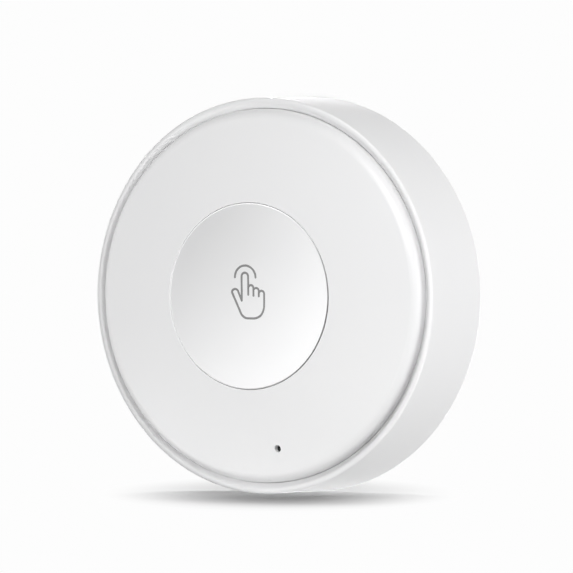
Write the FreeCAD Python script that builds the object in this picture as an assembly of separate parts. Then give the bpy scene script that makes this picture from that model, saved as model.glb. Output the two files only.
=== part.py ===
import FreeCAD, Part
import math
import os

# Round wireless scene switch: a case that twists onto a stuck-on rear cover, with a dished button.
# The front faces -Y, +Z is up, and the origin is the centre of the pad's face on the wall.
# A depth is measured forward from the wall, so depth d lies at y = -d. Sizes are millimetres.
# Angles go counter-clockwise from +X as seen from the front.

# Outer form
case_dia = 50.0
shell_wall = 1.8
back_round = 0.4            # outer edge of the case next to the wall
rim_width = 1.32            # raised rim round the front plate
rim_drop = 3.45             # from the crown back to the rim's crest
rim_crest = 0.45            # radius over the crest
rim_bevel_angle = 40.0      # the rim's inner bevel leans this far from the axis, in degrees
groove_width = 0.06         # groove between rim and front plate

# Front plate
dome_radius = 79.5          # the plate is part of a large ball
plate_wall = 1.6
plate_edge_round = 1.6
plate_side = 1.05           # straight edge of the plate, down in the groove
ledge_thick = 1.3
ledge_width = 1.28          # the ledge that carries the plate, in from the groove
skirt_wall = 1.4
skirt_height = 0.8          # below the plate's seat
collar_wall = 1.14          # ring that guides the button
opening_round = 0.1
rib_thick = 0.8
hook_count = 6
hook_angle = 14.0
hook_reach = 0.5            # past the ledge's inner edge
hook_thick = 0.8
index_width = 2.0

# Button
button_dia = 23.5
button_gap = 0.06
button_edge_round = 0.12
button_wall = 1.2
dish_depth = 1.0
button_travel = 0.35
flange_width = 1.16
flange_thick = 0.9
button_boss_r = 2.2
button_boss_height = 1.05
key_count = 3
key_width = 2.4
key_reach = 1.5
fork_thick = 0.8

# Indicator
pinhole_r = 0.46
pinhole_angle = -80.2
pinhole_inset = 1.2         # in from the skirt
pipe_r = 0.8
pipe_flange_r = 1.3
pipe_flange_thick = 0.6
pipe_sleeve_wall = 0.85
led_length = 1.6
led_width = 0.8
led_height = 0.6

# Circuit board, push switch and radio module
board_thick = 1.0
switch_side = 6.0
switch_base_height = 3.1
switch_floor = 1.2
switch_frame_thick = 0.25
rivet_r = 0.4
rivet_inset = 0.8           # in from the switch's sides
stem_r = 1.75
stem_stand = 0.95           # stem above the metal frame
stem_foot_thick = 0.6
snap_dome_r = 2.1
snap_dome_rise = 0.35
snap_dome_thick = 0.1
terminal_width = 0.8
terminal_thick = 0.2
radio_length = 16.0
radio_width = 11.0
radio_board_thick = 0.8
shield_length = 10.6
shield_width = 9.6
shield_height = 2.2
shield_sheet = 0.2
castellation_r = 0.35
castellation_pitch = 1.6
antenna_trace = 0.5
antenna_thick = 0.1
antenna_folds = 4
chip_length = 2.0
chip_width = 1.25
chip_height = 0.8
resistor_height = 0.4
chip_pitch = 2.6
bulk_length = 3.5
bulk_width = 2.8
bulk_height = 1.9
bulk_chamfer = 0.25
chip_count = 3

# Coin cell, tray and contacts
cell_dia = 20.0
cell_thick = 3.2
cell_sheet = 0.4
cell_rim = 0.7              # the can's wall where it closes on the gasket
cell_gasket_wall = 0.5
tray_web = 0.9
tray_wall = 1.2
window_r = 6.0
contact_sheet = 0.2
contact_width = 4.0
contact_lean = 20.0         # how far the spring strips lean, in degrees
clip_turn_r = 0.8
leaf_turn_r = 1.2
tray_rib_angle = 30.0       # ribs stand this far to each side of a screw
locating_pin_r = 0.85
pin_inset = 1.6

# Screws
boss_r = 1.9
screw_count = 3
screw_first_angle = 30.0
screw_r = 1.0
screw_length = 7.5
screw_head_r = 1.7
screw_head_height = 1.2
recess_width = 0.5

# Rear cover and pad
pad_dia = 38.0
pad_thick = 0.8
back_recess = 0.3           # the cover lies this far inside the case's back edge
rear_wall = 1.5
rear_flange_thick = 0.7
rear_ring_wall = 1.4
rear_rib_first_angle = 30.0
twist_angle = 18.0
lug_count = 3
lug_angle = 14.0
lug_thick = 1.0
tab_angle = 16.0
tab_thick = 1.2
tab_reach = 0.85
stop_angle = 1.6
stop_play = 0.5

# Clearances
fit_gap = 0.05              # guided or bored fits
play = 0.1                  # snap and twist fits
loose = 0.3                 # pieces that must never rub
room = 0.6                  # space round a whole group of pieces

# Radii that follow
case_r = case_dia / 2
shell_in = case_r - shell_wall
rim_in = case_r - rim_width
plate_r = rim_in - groove_width
ledge_in = rim_in - ledge_width
skirt_out = ledge_in - loose
skirt_in = skirt_out - skirt_wall
board_r = skirt_in - loose
button_r = button_dia / 2
opening_r = button_r + button_gap
collar_out = opening_r + collar_wall
flange_r = button_r + flange_width
key_r = flange_r + key_reach
tab_in = shell_in - tab_reach
rear_flange_r = shell_in - play
rear_ring_out = tab_in - play
rear_ring_in = rear_ring_out - rear_ring_wall
tray_r = rear_ring_in - room
cell_r = cell_dia / 2
gasket_r = cell_r - cell_rim
cell_cap_r = gasket_r - cell_gasket_wall
well_r = cell_r + play
well_out = well_r + tray_wall
screw_circle_r = (well_out + tray_r) / 2
pin_circle_r = tray_r - pin_inset
pinhole_circle_r = skirt_in - pinhole_inset
frame_hole_r = stem_r + fit_gap

# Depths that follow, from the wall to the crown
shell_back = pad_thick - back_recess
rear_in = pad_thick + rear_wall
cell_back = rear_in + room
cell_front = cell_back + cell_thick
tray_back = cell_back + loose
web_back = cell_front + loose
web_front = web_back + tray_web
board_back = web_front
board_front = board_back + board_thick
base_top = board_front + switch_base_height
frame_top = base_top + switch_frame_thick
stem_top = frame_top + stem_stand
boss_end = stem_top + fit_gap
dish_back = boss_end + button_boss_height
dish_front = dish_back + button_wall
crown = dish_front + dish_depth
shield_top = board_front + radio_board_thick + shield_height
flange_back = shield_top + loose + button_travel
flange_front = flange_back + flange_thick
collar_back = flange_front + fit_gap
led_top = board_front + led_height
pipe_back = led_top + loose
sleeve_back = pipe_back + pipe_flange_thick

# The front plate is a ball through the edge of the opening, rounded off at both rims.
dome_centre = crown - opening_round - math.sqrt(
    (dome_radius - opening_round) ** 2 - (opening_r + opening_round) ** 2)


# Depth of the plate's front at a radius, or of the surface that lies inset behind it.
def dome_depth(radius, inset=0.0):
    return dome_centre + math.sqrt((dome_radius - inset) ** 2 - radius ** 2)


plate_edge = dome_depth(plate_r - plate_edge_round, plate_edge_round)
ledge_front = plate_edge - plate_side
ledge_back = ledge_front - ledge_thick
skirt_back = ledge_front - skirt_height


# A point of a turned section: radius from the axis and depth from the wall.
def spot(radius, depth):
    return FreeCAD.Vector(radius, -depth, 0)


def straight(start, end):
    return Part.LineSegment(spot(*start), spot(*end)).toShape()


# An arc about a centre, from one angle to another, measured from outward towards the front.
def round_edge(centre, radius, start_angle, end_angle):
    angles = (start_angle, (start_angle + end_angle) / 2, end_angle)
    points = []
    for angle in angles:
        turn = math.radians(angle)
        points.append(spot(centre[0] + radius * math.cos(turn), centre[1] + radius * math.sin(turn)))
    return Part.Arc(*points).toShape()


# Straight edges through a list of section points.
def path(*points):
    return [straight(start, end) for start, end in zip(points, points[1:])]


# Turn a closed section about the Y axis, which runs from the wall to the front.
def turned(edges, angle=360.0, first=0.0):
    face = Part.Face(Part.Wire(edges))
    solid = face.revolve(FreeCAD.Vector(0, 0, 0), FreeCAD.Vector(0, -1, 0), angle)
    solid.rotate(FreeCAD.Vector(0, 0, 0), FreeCAD.Vector(0, -1, 0), first)
    return solid


# Part of a ring between two radii and two depths, centred on an angle.
def ring(inner, outer, back, front, angle=360.0, middle=0.0):
    corners = ((inner, back), (outer, back), (outer, front), (inner, front), (inner, back))
    return turned(path(*corners), angle, middle - angle / 2)


def around(shape, angle):
    turned_shape = shape.copy()
    turned_shape.rotate(FreeCAD.Vector(0, 0, 0), FreeCAD.Vector(0, -1, 0), angle)
    return turned_shape


# A block that runs outward from one radius to another, centred on an angle.
def bar(inner, outer, width, back, front, angle=0.0):
    block = Part.makeBox(outer - inner, front - back, width, FreeCAD.Vector(inner, -front, -width / 2))
    return around(block, angle)


# A round post parallel to the axis.
def post(radius, back, front, circle_r=0.0, angle=0.0):
    start = FreeCAD.Vector(circle_r, -back, 0)
    return around(Part.makeCylinder(radius, front - back, start, FreeCAD.Vector(0, -1, 0)), angle)


# A block on the circuit board, given by its centre and its sizes across, up and forward.
def chip(x, z, across, upward, back, height):
    corner = FreeCAD.Vector(x - across / 2, -(back + height), z - upward / 2)
    return Part.makeBox(across, height, upward, corner)


def joined(first, others):
    return first.multiFuse(others).removeSplitter() if others else first


def evenly(count, first=0.0):
    return [first + 360.0 * step / count for step in range(count)]


# A flat strip bent along straight runs and arcs. Each move is a run's length, or a radius and a
# turn in degrees. It starts at a section point with a heading in degrees, and is as wide as asked.
def bent_strip(start, heading, moves, sheet, width):
    sides = ([], [])
    offsets = (sheet / 2, -sheet / 2)
    here = start
    first_ends = []
    for move in moves:
        turn = math.radians(heading)
        if len(move) == 1:
            there = (here[0] + move[0] * math.cos(turn), here[1] + move[0] * math.sin(turn))
            for side, offset in zip(sides, offsets):
                shift = (-offset * math.sin(turn), offset * math.cos(turn))
                side.append(straight((here[0] + shift[0], here[1] + shift[1]),
                                     (there[0] + shift[0], there[1] + shift[1])))
        else:
            radius, angle = move
            sign = math.copysign(1.0, angle)
            centre = (here[0] - sign * radius * math.sin(turn), here[1] + sign * radius * math.cos(turn))
            begin = heading - sign * 90.0
            for side, offset in zip(sides, offsets):
                side.append(round_edge(centre, radius - sign * offset, begin, begin + angle))
            heading += angle
            turn = math.radians(heading)
            there = (centre[0] + sign * radius * math.sin(turn), centre[1] - sign * radius * math.cos(turn))
        here = there
    starts = [side[0].firstVertex(True).Point for side in sides]
    ends = [side[-1].lastVertex(True).Point for side in sides]
    caps = [Part.LineSegment(*starts).toShape(), Part.LineSegment(*ends).toShape()]
    outline = Part.Wire(Part.__sortEdges__(sides[0] + sides[1] + caps))
    strip = Part.Face(outline).extrude(FreeCAD.Vector(0, 0, width))
    strip.translate(FreeCAD.Vector(0, 0, -width / 2))
    return strip


# The case's wall, with its rounded rim that falls in a bevel to the plate's edge, the ledge for
# the plate, and behind it the tabs that hook round the rear cover's lugs.
def make_outer_shell():
    crest_centre = (case_r - rim_crest, crown - rim_drop - rim_crest)
    lean = math.radians(rim_bevel_angle)
    bevel_top = (crest_centre[0] - rim_crest * math.cos(lean), crest_centre[1] + rim_crest * math.sin(lean))
    lip_depth = bevel_top[1] - (bevel_top[0] - rim_in) / math.tan(lean)
    edges = [round_edge(crest_centre, rim_crest, 0.0, 180.0 - rim_bevel_angle)]
    edges += path(bevel_top, (rim_in, lip_depth), (rim_in, ledge_front), (ledge_in, ledge_front),
                  (ledge_in, ledge_back), (shell_in, ledge_back), (shell_in, shell_back),
                  (case_r - back_round, shell_back))
    edges.append(round_edge((case_r - back_round, shell_back + back_round), back_round, -90.0, 0.0))
    edges.append(straight((case_r, shell_back + back_round), (case_r, crest_centre[1])))
    shell = turned(edges)
    tab_back = pad_thick + rear_flange_thick + play
    tab_front = tab_back + tab_thick
    bite = shell_wall / 2
    extras = []
    for angle in evenly(lug_count, 90.0):
        extras.append(ring(tab_in, shell_in + bite, tab_back, tab_front, tab_angle, angle))
        stop_middle = angle + (lug_angle + stop_angle) / 2 + stop_play
        stop_front = tab_front + lug_thick + play
        extras.append(ring(tab_in, shell_in + bite, tab_back, stop_front, stop_angle, stop_middle))
    shell = joined(shell, extras)
    notch = bar(ledge_in - loose, shell_in, index_width + 2 * play, ledge_back - loose,
                ledge_front + loose, 90.0)
    return shell.cut(notch)


# The domed front plate, with its collar for the button, snap hooks, screw bosses, stiffening ribs
# and the sleeve that holds the light pipe.
def make_front_cover():
    opening_centre = (opening_r + opening_round, crown - opening_round)
    edge_centre = (plate_r - plate_edge_round, plate_edge)
    lean_in = math.degrees(math.atan2(opening_centre[1] - dome_centre, opening_centre[0]))
    lean_out = math.degrees(math.atan2(edge_centre[1] - dome_centre, edge_centre[0]))
    inner_ball = dome_radius - plate_wall
    inner_start = math.degrees(math.acos(skirt_in / inner_ball))
    inner_end = math.degrees(math.acos(collar_out / inner_ball))
    edges = [straight((opening_r, collar_back), (opening_r, opening_centre[1])),
             round_edge(opening_centre, opening_round, 180.0, lean_in),
             round_edge((0.0, dome_centre), dome_radius, lean_in, lean_out),
             round_edge(edge_centre, plate_edge_round, lean_out, 0.0)]
    edges += path((plate_r, plate_edge), (plate_r, ledge_front), (skirt_out, ledge_front),
                  (skirt_out, skirt_back), (skirt_in, skirt_back), (skirt_in, dome_depth(skirt_in, plate_wall)))
    edges.append(round_edge((0.0, dome_centre), inner_ball, inner_start, inner_end))
    edges += path((collar_out, dome_depth(collar_out, plate_wall)), (collar_out, collar_back),
                  (opening_r, collar_back))
    cover = turned(edges)

    hook_front = ledge_back - play
    hook_back = hook_front - hook_thick
    hook_tip = ledge_in + hook_reach
    hook_section = path((skirt_in, hook_back), (skirt_out, hook_back), (hook_tip, hook_front - hook_thick / 3),
                        (hook_tip, hook_front), (skirt_out, hook_front), (skirt_out, ledge_front),
                        (skirt_in, ledge_front), (skirt_in, hook_back))
    hook = turned(hook_section, hook_angle, -hook_angle / 2)
    hooks = [around(hook, angle) for angle in evenly(hook_count)]

    rib_inner = flange_r + loose
    rib_outer = skirt_in + skirt_wall / 2
    inside = [bar(rib_inner, rib_outer, rib_thick, flange_back, crown, angle) for angle in evenly(hook_count)]
    for angle in evenly(screw_count, screw_first_angle):
        inside.append(post(boss_r, board_front, crown, screw_circle_r, angle))
        inside.append(bar(screw_circle_r, rib_outer, rib_thick, flange_back, crown, angle))
    fork_offset = key_width / 2 + play + fork_thick / 2
    for angle in evenly(key_count, 90.0):
        for side in (-1, 1):
            fork = bar(rib_inner, key_r + loose, fork_thick, flange_back - button_travel, crown)
            fork.translate(FreeCAD.Vector(0, 0, side * fork_offset))
            inside.append(around(fork, angle))
    sleeve_r = pipe_r + fit_gap + pipe_sleeve_wall
    inside.append(post(sleeve_r, sleeve_back, crown, pinhole_circle_r, pinhole_angle))
    ball = Part.makeSphere(dome_radius - plate_wall / 2, spot(0.0, dome_centre))
    inside = [shape.common(ball) for shape in inside]
    key = bar(skirt_out - skirt_wall / 2, shell_in - loose, index_width, ledge_back + loose,
              ledge_front + plate_side / 2, 90.0)
    cover = joined(cover, hooks + inside + [key])

    pipe_front = dome_depth(pinhole_circle_r + pipe_r, plate_wall)
    cuts = [post(pipe_r + fit_gap, sleeve_back - loose, pipe_front, pinhole_circle_r, pinhole_angle),
            post(pinhole_r, sleeve_back, crown, pinhole_circle_r, pinhole_angle)]
    bore_front = screw_seat() + screw_length + loose
    for angle in evenly(screw_count, screw_first_angle):
        cuts.append(post(screw_r + fit_gap, board_front - loose, bore_front, screw_circle_r, angle))
    return cover.cut(cuts)


# The dished round button: a thin cup, stiffened inside, with a flange and keys that stop it from
# coming out or turning.
def make_button_cap():
    edge_r = button_r - button_edge_round
    drop = dish_depth - button_edge_round
    ball = (edge_r ** 2 - button_edge_round ** 2 + drop ** 2) / (2 * (button_edge_round + drop))
    ball_centre = dish_front + ball
    edge_centre = (edge_r, crown - button_edge_round)
    lean = math.degrees(math.atan2(edge_centre[1] - ball_centre, edge_r))
    wall_r = button_r - button_wall
    back_ball = ball + button_wall
    back_lean = -math.degrees(math.acos(wall_r / back_ball))
    back_rim = ball_centre - math.sqrt(back_ball ** 2 - wall_r ** 2)
    edges = [round_edge((0.0, ball_centre), ball, -90.0, lean),
             round_edge(edge_centre, button_edge_round, lean + 180.0, 0.0)]
    edges += path((button_r, edge_centre[1]), (button_r, flange_front), (flange_r, flange_front),
                  (flange_r, flange_back), (wall_r, flange_back), (wall_r, back_rim))
    edges.append(round_edge((0.0, ball_centre), back_ball, back_lean, -90.0))
    edges += path((0.0, dish_back), (0.0, dish_front))
    cap = turned(edges)
    bite = button_wall / 2
    rib_back = (flange_back + dish_back) / 2
    inside = [post(button_boss_r, boss_end, crown)]
    for angle in evenly(2 * key_count, 90.0):
        inside.append(bar(button_boss_r / 2, wall_r + bite, rib_thick, rib_back, crown, angle))
    hollow = Part.makeSphere(ball + bite, spot(0.0, ball_centre))
    extras = [shape.cut(hollow) for shape in inside]
    for angle in evenly(key_count, 90.0):
        extras.append(bar(flange_r - bite, key_r, key_width, flange_back, flange_front, angle))
    return joined(cap, extras)


# Clear pin that carries light from the indicator to the pinhole.
def make_light_pipe():
    tip = dome_depth(pinhole_circle_r + pipe_r, plate_wall) - fit_gap
    flange = post(pipe_flange_r, pipe_back, sleeve_back, pinhole_circle_r, pinhole_angle)
    stem = post(pipe_r, pipe_back, tip, pinhole_circle_r, pinhole_angle)
    return joined(flange, [stem])


def make_indicator_led():
    body = Part.makeBox(led_width, led_height, led_length,
                        FreeCAD.Vector(pinhole_circle_r - led_width / 2, -led_top, -led_length / 2))
    front_edges = [edge for edge in body.Edges
                   if all(abs(v.Y + led_top) < 1e-6 for v in edge.Vertexes)
                   and abs(edge.Vertexes[0].X - edge.Vertexes[1].X) < 1e-6]
    body = body.makeFillet(led_width / 4, front_edges)
    return around(body, pinhole_angle)


# Round board with clearance holes for the screws and the tray's two locating pins.
def make_circuit_board():
    board = post(board_r, board_back, board_front)
    cuts = []
    for angle in evenly(screw_count, screw_first_angle):
        cuts.append(post(screw_r + play, board_back - loose, board_front + loose, screw_circle_r, angle))
    for angle in evenly(2):
        cuts.append(post(locating_pin_r + fit_gap, board_back - loose, board_front + loose, pin_circle_r, angle))
    return board.cut(cuts)


def rivet_places():
    reach = switch_side / 2 - rivet_inset
    return [(x * reach, z * reach) for x in (-1, 1) for z in (-1, 1)]


# Moulded base of the push switch, open at the front, with four pins that hold the frame.
def make_switch_base():
    base = chip(0, 0, switch_side, switch_side, board_front, switch_base_height)
    upright = [edge for edge in base.Edges if abs(edge.Vertexes[0].Y - edge.Vertexes[1].Y) > 1e-6]
    base = base.makeChamfer(rivet_r / 2, upright)
    pins = []
    for x, z in rivet_places():
        pin = post(rivet_r, base_top - loose, frame_top + play)
        pin.translate(FreeCAD.Vector(x, 0, z))
        pins.append(pin)
    base = joined(base, pins)
    cavity = post(snap_dome_r + play, board_front + switch_floor, base_top + loose)
    return base.cut(cavity)


# Metal frame over the base, folded down two sides, with the hole for the stem.
def make_switch_frame():
    frame = chip(0, 0, switch_side - room, switch_side, base_top, switch_frame_thick)
    flaps = []
    for side in (-1, 1):
        middle = side * (switch_side + switch_frame_thick) / 2
        flap_height = switch_base_height / 2 + switch_frame_thick
        flaps.append(chip(0, middle, switch_side / 2, switch_frame_thick, frame_top - flap_height, flap_height))
    frame = joined(frame, flaps)
    cuts = [post(frame_hole_r, base_top - loose, frame_top + loose)]
    for x, z in rivet_places():
        hole = post(rivet_r + fit_gap, base_top - loose, frame_top + loose)
        hole.translate(FreeCAD.Vector(x, 0, z))
        cuts.append(hole)
    return frame.cut(cuts)


# Stem that the button pushes, kept in by its foot and ending in a nib over the snap dome.
def make_switch_plunger():
    foot_front = base_top - fit_gap
    foot_back = foot_front - stem_foot_thick
    dome_top = board_front + switch_floor + snap_dome_rise + snap_dome_thick
    nib_back = dome_top + button_travel + fit_gap
    edges = path((0.0, nib_back), (stem_r / 3, nib_back), (stem_r / 3, foot_back),
                 (snap_dome_r, foot_back), (snap_dome_r, foot_front), (stem_r, foot_front),
                 (stem_r, stem_top - play), (stem_r - play, stem_top), (0.0, stem_top), (0.0, nib_back))
    return turned(edges)


# Thin sprung dish that snaps through under the stem.
def make_snap_dome():
    floor = board_front + switch_floor
    ball = (snap_dome_r ** 2 + snap_dome_rise ** 2) / (2 * snap_dome_rise)
    centre = (0.0, floor + snap_dome_rise - ball)
    lean = math.degrees(math.acos(snap_dome_r / ball))
    outer = ball + snap_dome_thick
    rim = (outer * math.cos(math.radians(lean)), centre[1] + outer * math.sin(math.radians(lean)))
    edges = [round_edge(centre, ball, lean, 90.0),
             straight((0.0, centre[1] + ball), (0.0, centre[1] + outer)),
             round_edge(centre, outer, 90.0, lean),
             straight(rim, (snap_dome_r, floor))]
    return turned(edges)


# Four gull-wing legs, soldered to the board.
def make_switch_terminals():
    level = board_front + switch_floor / 2
    drop = level - board_front - terminal_thick / 2
    bend = drop / 2
    legs = []
    for side in (0.0, 180.0):
        for shift in (-1, 1):
            leg = bent_strip((switch_side / 2, level), 0.0,
                             [(terminal_thick,), (bend, -90.0), (bend, 90.0), (terminal_width,)],
                             terminal_thick, terminal_width)
            leg.translate(FreeCAD.Vector(0, 0, shift * switch_side / 3))
            legs.append(around(leg, side))
    return Part.makeCompound(legs)


radio_middle = switch_side / 2 + 2 * room + radio_width / 2
radio_front = board_front + radio_board_thick
shield_middle = (radio_length - shield_length) / 2 - castellation_r


# Small radio module board, with half-round solder pads along its two long edges.
def make_radio_board():
    board = chip(0, radio_middle, radio_length, radio_width, board_front, radio_board_thick)
    cuts = []
    count = int(shield_length / castellation_pitch)
    first = radio_length / 2 - castellation_pitch / 2
    for step in range(count):
        for side in (-1, 1):
            pad = post(castellation_r, board_front - loose, radio_front + loose)
            pad.translate(FreeCAD.Vector(first - step * castellation_pitch, 0,
                                         radio_middle + side * radio_width / 2))
            cuts.append(pad)
    return board.cut(cuts)


# Drawn sheet-metal can over the radio's chips, open towards the board.
def make_radio_shield():
    can = chip(shield_middle, radio_middle, shield_length, shield_width, radio_front, shield_height)
    soft = [edge for edge in can.Edges
            if not all(abs(v.Y + radio_front) < 1e-6 for v in edge.Vertexes)]
    can = can.makeFillet(2 * shield_sheet, soft)
    inside = chip(shield_middle, radio_middle, shield_length - 2 * shield_sheet, shield_width - 2 * shield_sheet,
                  radio_front - loose, shield_height + loose - shield_sheet)
    return can.cut(inside)


# Folded copper trace that works as the aerial.
def make_radio_antenna():
    pitch = (radio_width - 2 * room) / (2 * antenna_folds)
    left = room - radio_length / 2
    right = shield_middle - shield_length / 2 - loose
    run = right - left - pitch - antenna_trace
    moves = []
    for fold in range(2 * antenna_folds - 1):
        side = 1 if fold % 2 == 0 else -1
        moves += [(run,), (pitch / 2, side * 90.0), (pitch / 2, side * 90.0)]
    moves.append((run,))
    trace = bent_strip((0.0, 0.0), 180.0, moves, antenna_trace, antenna_thick)
    trace.rotate(FreeCAD.Vector(0, 0, 0), FreeCAD.Vector(1, 0, 0), 90.0)
    box = trace.BoundBox
    trace.translate(FreeCAD.Vector(left - box.XMin, -(radio_front + antenna_thick) - box.YMin,
                                   radio_middle - (box.ZMin + box.ZMax) / 2))
    return trace


# The small parts stand clear of the push switch's legs.
legs_out = switch_side / 2 + terminal_width + 2 * room


def chip_row(count, z, height):
    first = legs_out + chip_width / 2
    return Part.makeCompound([chip(first + step * chip_pitch, z, chip_width, chip_length, board_front, height)
                              for step in range(count)])


def make_chip_capacitors():
    return chip_row(chip_count, -chip_pitch, chip_height)


def make_chip_resistors():
    return chip_row(chip_count, -2 * chip_pitch, resistor_height)


# Larger capacitor that feeds the radio's short bursts.
def make_bulk_capacitor():
    x = -(legs_out + bulk_length / 2)
    body = chip(x, -chip_pitch, bulk_length, bulk_width, board_front, bulk_height)
    top = [edge for edge in body.Edges
           if all(abs(v.Y + board_front + bulk_height) < 1e-6 for v in edge.Vertexes)]
    return body.makeChamfer(bulk_chamfer, top)


def screw_seat():
    return tray_back + screw_head_height


# Moulded tray that holds the cell from behind and backs the circuit board.
def make_battery_tray():
    web = post(tray_r, web_back, web_front)
    well = ring(well_r, well_out, tray_back, web_back)
    edge_wall = ring(tray_r - tray_wall, tray_r, web_back - tray_wall, web_back)
    extras = [well, edge_wall]
    for angle in evenly(screw_count, screw_first_angle):
        extras.append(post(screw_head_r + play + tray_wall, tray_back, web_back, screw_circle_r, angle))
        for side in (-tray_rib_angle, tray_rib_angle):
            extras.append(bar(well_out - tray_wall / 2, tray_r - tray_wall / 2, rib_thick,
                              web_back - tray_wall, web_back, angle + side))
    for angle in evenly(2):
        extras.append(post(locating_pin_r, web_front - tray_web / 2, board_front + play, pin_circle_r, angle))
    tray = joined(web, extras)
    slot_width = contact_width + 2 * loose
    cuts = [post(window_r, web_back - loose, web_front + loose),
            bar(well_r - loose, well_out + contact_width, slot_width, tray_back - loose,
                web_front + loose, 180.0)]
    for angle in evenly(screw_count, screw_first_angle):
        cuts.append(post(screw_head_r + play, tray_back - loose, screw_seat(), screw_circle_r, angle))
        cuts.append(post(screw_r + fit_gap, tray_back, web_front + loose, screw_circle_r, angle))
    return tray.cut(cuts)


# Spring strip beside the cell. Its foot is soldered to the board, and its belly presses the can.
def make_positive_clip():
    blade_r = well_r + tray_wall / 2
    foot_depth = board_back - contact_sheet / 2
    bend = 2 * contact_sheet
    reach = foot_depth - (cell_back + cell_thick / 2)
    belly = blade_r - (cell_r + fit_gap + contact_sheet / 2)
    slope = math.radians(contact_lean)
    run = belly / math.sin(slope) - clip_turn_r * (1 - math.cos(slope)) / math.sin(slope)
    drop = reach - bend - run * math.cos(slope) - 2 * clip_turn_r * math.sin(slope)
    foot = contact_width - bend
    moves = [(foot,), (bend, 90.0), (drop,), (clip_turn_r, -contact_lean), (run,),
             (clip_turn_r, 2 * contact_lean), (run / 2,)]
    clip = bent_strip((blade_r + bend + foot, foot_depth), 180.0, moves, contact_sheet, contact_width)
    return around(clip, 180.0)


# Sprung leaf behind the board that bears on the cell's smaller pole.
def make_negative_spring():
    foot_depth = board_back - contact_sheet / 2
    tip_depth = cell_front + fit_gap + contact_sheet / 2
    slope = math.radians(contact_lean)
    run = (foot_depth - tip_depth - 2 * leaf_turn_r * (1 - math.cos(slope))) / math.sin(slope)
    foot = contact_width / 2
    moves = [(foot,), (leaf_turn_r, contact_lean), (run,), (leaf_turn_r, -2 * contact_lean), (run / 2,)]
    return bent_strip((window_r - 2 * room, foot_depth), 180.0, moves, contact_sheet, contact_width)


# The cell's can is a cup that opens forward and is crimped in over the gasket.
def make_cell_can():
    rim = cell_front - cell_sheet
    back = cell_back + cell_sheet
    return turned(path((0.0, cell_back), (cell_r - cell_sheet, cell_back), (cell_r, back),
                       (cell_r, rim - cell_sheet), (cell_r - cell_sheet, rim), (gasket_r, rim),
                       (gasket_r, back), (0.0, back), (0.0, cell_back)))


# The gasket is a ring of L section that keeps can and cap apart.
def make_cell_gasket():
    back = cell_back + cell_sheet
    wall = ring(cell_cap_r, gasket_r, back, cell_front - cell_sheet)
    foot = ring(cell_cap_r - cell_sheet, cell_cap_r, back, back + cell_sheet)
    return joined(wall, [foot])


def make_cell_cap():
    back = cell_back + 2 * cell_sheet
    inner = cell_cap_r - cell_sheet
    shoulder = cell_front - cell_sheet
    return turned(path((0.0, shoulder), (inner, shoulder), (inner, back), (cell_cap_r, back),
                       (cell_cap_r, shoulder), (inner, cell_front), (0.0, cell_front), (0.0, shoulder)))


# Pan-head screws from behind, through tray and board into the front cover's bosses.
def make_tray_screws():
    seat = screw_seat()
    head_back = seat - screw_head_height
    tip = seat + screw_length
    slope = screw_head_height / 3
    screw = turned(path((0.0, head_back), (screw_head_r - slope, head_back), (screw_head_r, head_back + slope),
                        (screw_head_r, seat), (screw_r, seat), (screw_r, tip - screw_r), (screw_r / 3, tip),
                        (0.0, tip), (0.0, head_back)))
    slots = [chip(0, 0, screw_head_r, recess_width, head_back, screw_head_height / 2),
             chip(0, 0, recess_width, screw_head_r, head_back, screw_head_height / 2)]
    screw = screw.cut(slots)
    screw.translate(FreeCAD.Vector(screw_circle_r, 0, 0))
    return Part.makeCompound([around(screw, angle) for angle in evenly(screw_count, screw_first_angle)])


# The cover that stays on the wall. Its flange closes the case, and its lugs hold the case's tabs.
def make_rear_cover():
    flange_front = pad_thick + rear_flange_thick
    lug_back = flange_front + play + tab_thick + play
    lug_front = lug_back + lug_thick
    edges = path((0.0, pad_thick), (rear_flange_r - play, pad_thick), (rear_flange_r, pad_thick + play),
                 (rear_flange_r, flange_front), (rear_ring_out, flange_front), (rear_ring_out, lug_front),
                 (rear_ring_in, lug_front), (rear_ring_in, rear_in), (0.0, rear_in), (0.0, pad_thick))
    cover = turned(edges)
    extras = []
    for angle in evenly(lug_count, 90.0):
        extras.append(ring(rear_ring_out - rear_ring_wall / 2, shell_in - 2 * play, lug_back, lug_front,
                           lug_angle, angle))
    pad_ring_out = cell_r / 2
    bite = rear_wall / 2
    extras.append(ring(pad_ring_out - tray_wall, pad_ring_out, rear_in - bite, cell_back - loose))
    for angle in evenly(2 * lug_count, rear_rib_first_angle):
        extras.append(bar(pad_ring_out - tray_wall / 2, rear_ring_in + rear_ring_wall / 2, rib_thick,
                          rear_in - bite, cell_back - loose, angle))
    return joined(cover, extras)


# Foam pad, sticky on both faces.
def make_adhesive_pad():
    return post(pad_dia / 2, 0.0, pad_thick)


makers = {
    "outer_shell": make_outer_shell,
    "front_cover": make_front_cover,
    "button_cap": make_button_cap,
    "light_pipe": make_light_pipe,
    "indicator_led": make_indicator_led,
    "circuit_board": make_circuit_board,
    "switch_base": make_switch_base,
    "switch_frame": make_switch_frame,
    "switch_plunger": make_switch_plunger,
    "switch_snap_dome": make_snap_dome,
    "switch_terminals": make_switch_terminals,
    "radio_board": make_radio_board,
    "radio_shield": make_radio_shield,
    "radio_antenna": make_radio_antenna,
    "chip_capacitors": make_chip_capacitors,
    "chip_resistors": make_chip_resistors,
    "bulk_capacitor": make_bulk_capacitor,
    "battery_tray": make_battery_tray,
    "positive_clip": make_positive_clip,
    "negative_spring": make_negative_spring,
    "cell_can": make_cell_can,
    "cell_gasket": make_cell_gasket,
    "cell_cap": make_cell_cap,
    "tray_screws": make_tray_screws,
    "rear_cover": make_rear_cover,
    "adhesive_pad": make_adhesive_pad,
}

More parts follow.
